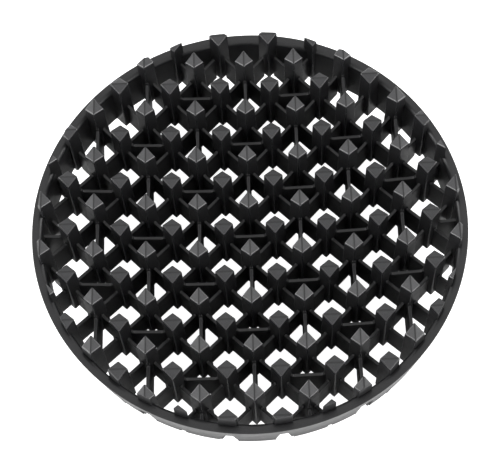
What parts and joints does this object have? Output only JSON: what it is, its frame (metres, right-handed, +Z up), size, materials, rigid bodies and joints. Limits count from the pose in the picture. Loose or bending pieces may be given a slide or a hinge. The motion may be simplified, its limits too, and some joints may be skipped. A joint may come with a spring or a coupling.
{
  "type": "flower frog",
  "caption": "Round dished flower frog: a lattice of thin walls, gable-topped posts and low ribs inside a slanting rim, to hold cut stems upright in a bowl.",
  "frame": {"origin": "centre of the level foot under the middle of the dish, on the plane the piece rests on", "axes": "+Z up out of the dish, +X to the right and +Y to the back, along the two rows of posts; the walls run at 45 degrees to both"},
  "size_m": [0.1524, 0.1524, 0.0322],
  "materials": {
    "black_plastic": "satin black moulded plastic, fine grain on the post tops"
  },
  "bodies": {
    "root": {"rim_ring": "black_plastic", "wall_a1": "black_plastic", "wall_a2": "black_plastic", "wall_a3": "black_plastic", "wall_a4": "black_plastic", "wall_a5": "black_plastic", "wall_a6": "black_plastic", "wall_a7": "black_plastic", "wall_a8": "black_plastic", "wall_a9": "black_plastic", "wall_a10": "black_plastic", "wall_b1": "black_plastic", "wall_b2": "black_plastic", "wall_b3": "black_plastic", "wall_b4": "black_plastic", "wall_b5": "black_plastic", "wall_b6": "black_plastic", "wall_b7": "black_plastic", "wall_b8": "black_plastic", "wall_b9": "black_plastic", "wall_b10": "black_plastic", "rib_1_3": "black_plastic", "rib_1_4": "black_plastic", "rib_1_5": "black_plastic", "rib_2_2": "black_plastic", "rib_2_3": "black_plastic", "rib_2_4": "black_plastic", "rib_2_5": "black_plastic", "rib_2_6": "black_plastic", "rib_3_1": "black_plastic", "rib_3_2": "black_plastic", "rib_3_3": "black_plastic", "rib_3_4": "black_plastic", "rib_3_5": "black_plastic", "rib_3_6": "black_plastic", "rib_3_7": "black_plastic", "rib_4_1": "black_plastic", "rib_4_2": "black_plastic", "rib_4_3": "black_plastic", "rib_4_4": "black_plastic", "rib_4_5": "black_plastic", "rib_4_6": "black_plastic", "rib_4_7": "black_plastic", "rib_5_1": "black_plastic", "rib_5_2": "black_plastic", "rib_5_3": "black_plastic", "rib_5_4": "black_plastic", "rib_5_5": "black_plastic", "rib_5_6": "black_plastic", "rib_5_7": "black_plastic", "rib_6_2": "black_plastic", "rib_6_3": "black_plastic", "rib_6_4": "black_plastic", "rib_6_5": "black_plastic", "rib_6_6": "black_plastic", "rib_7_3": "black_plastic", "rib_7_4": "black_plastic", "rib_7_5": "black_plastic"}
  },
  "joints": []
}
